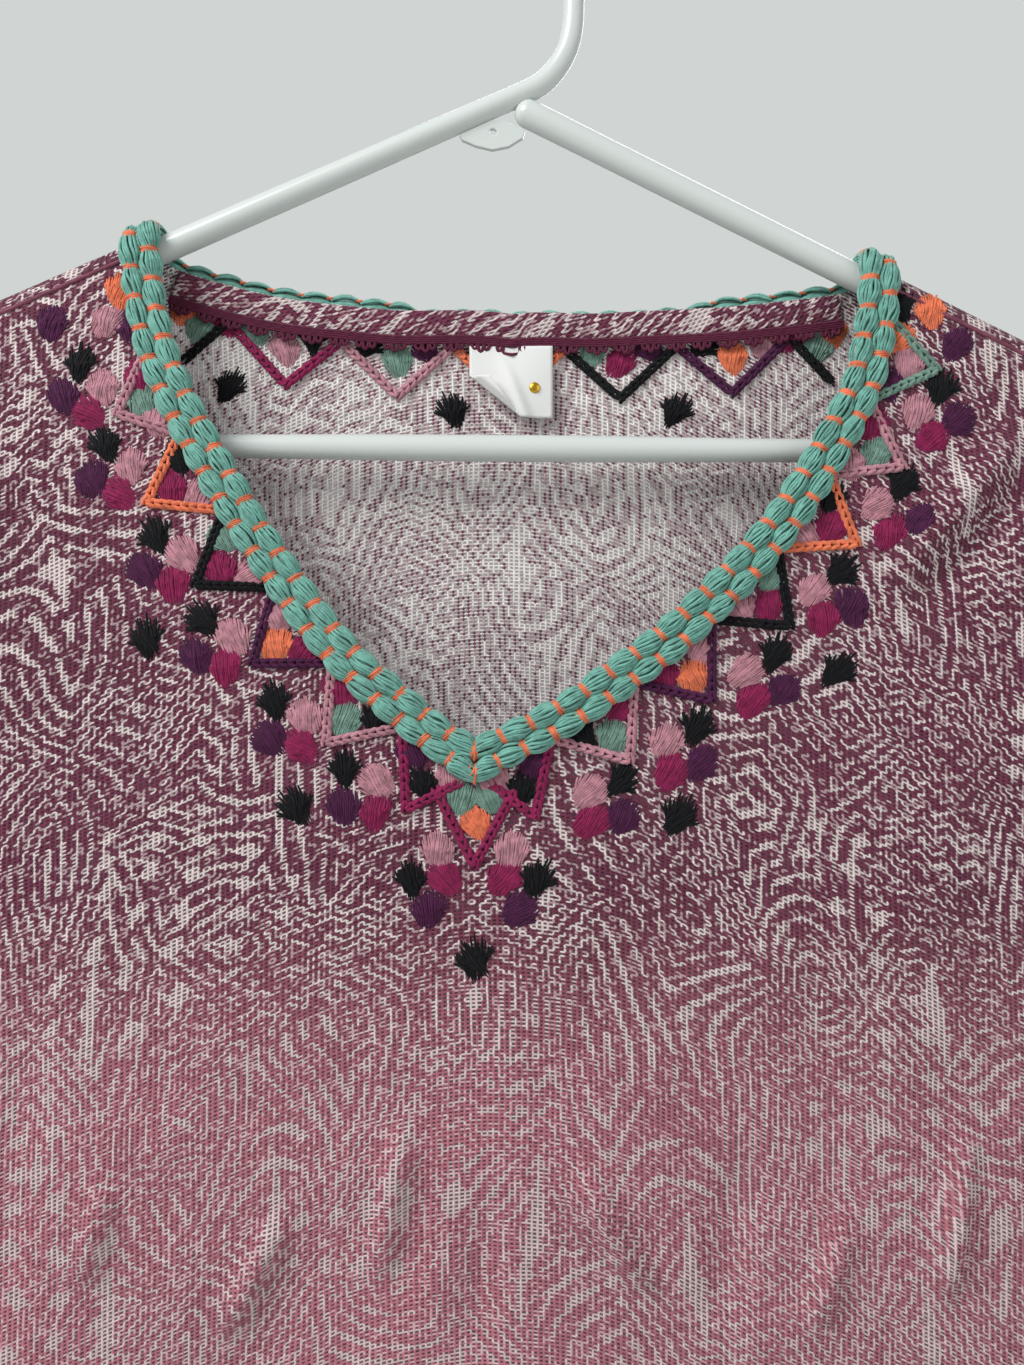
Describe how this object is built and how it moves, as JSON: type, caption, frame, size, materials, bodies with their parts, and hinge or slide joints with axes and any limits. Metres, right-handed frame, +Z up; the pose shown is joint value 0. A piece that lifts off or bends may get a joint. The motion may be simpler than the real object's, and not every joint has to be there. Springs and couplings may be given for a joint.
{
  "type": "long-sleeve top on a hanger",
  "caption": "Long-sleeve V-neck top of gauze cloth with a puffed thread trim round the neck, hanging on a tubular plastic hanger.",
  "frame": {"origin": "inner top of the hanger's hook, where a rail carries it", "axes": "+Z up along the drop of the cloth, +Y from the front of the top to its back, +X to the right of someone who looks at the front"},
  "size_m": [0.753, 0.064, 0.7958],
  "materials": {
    "gauze_cloth": "open gauze weave cotton, printed",
    "facing_cloth": "open gauze weave cotton, printed side out",
    "picot_tape": "matt scalloped tape",
    "trim_thread": "bundled cotton thread with a soft sheen",
    "label_weave": "smooth woven tape",
    "hanger_plastic": "moulded, half gloss"
  },
  "bodies": {
    "root": {"front_panel": "gauze_cloth", "back_panel": "gauze_cloth", "sleeve_left": "gauze_cloth", "sleeve_right": "gauze_cloth", "back_neck_facing": "facing_cloth", "picot_tape": "picot_tape", "neck_trim_inner": "trim_thread", "neck_trim_outer": "trim_thread", "neck_label": "label_weave", "hanger_hook": "hanger_plastic", "hanger_left_arm": "hanger_plastic", "hanger_right_arm": "hanger_plastic", "hanger_bar": "hanger_plastic", "hanger_web": "hanger_plastic"}
  },
  "joints": []
}
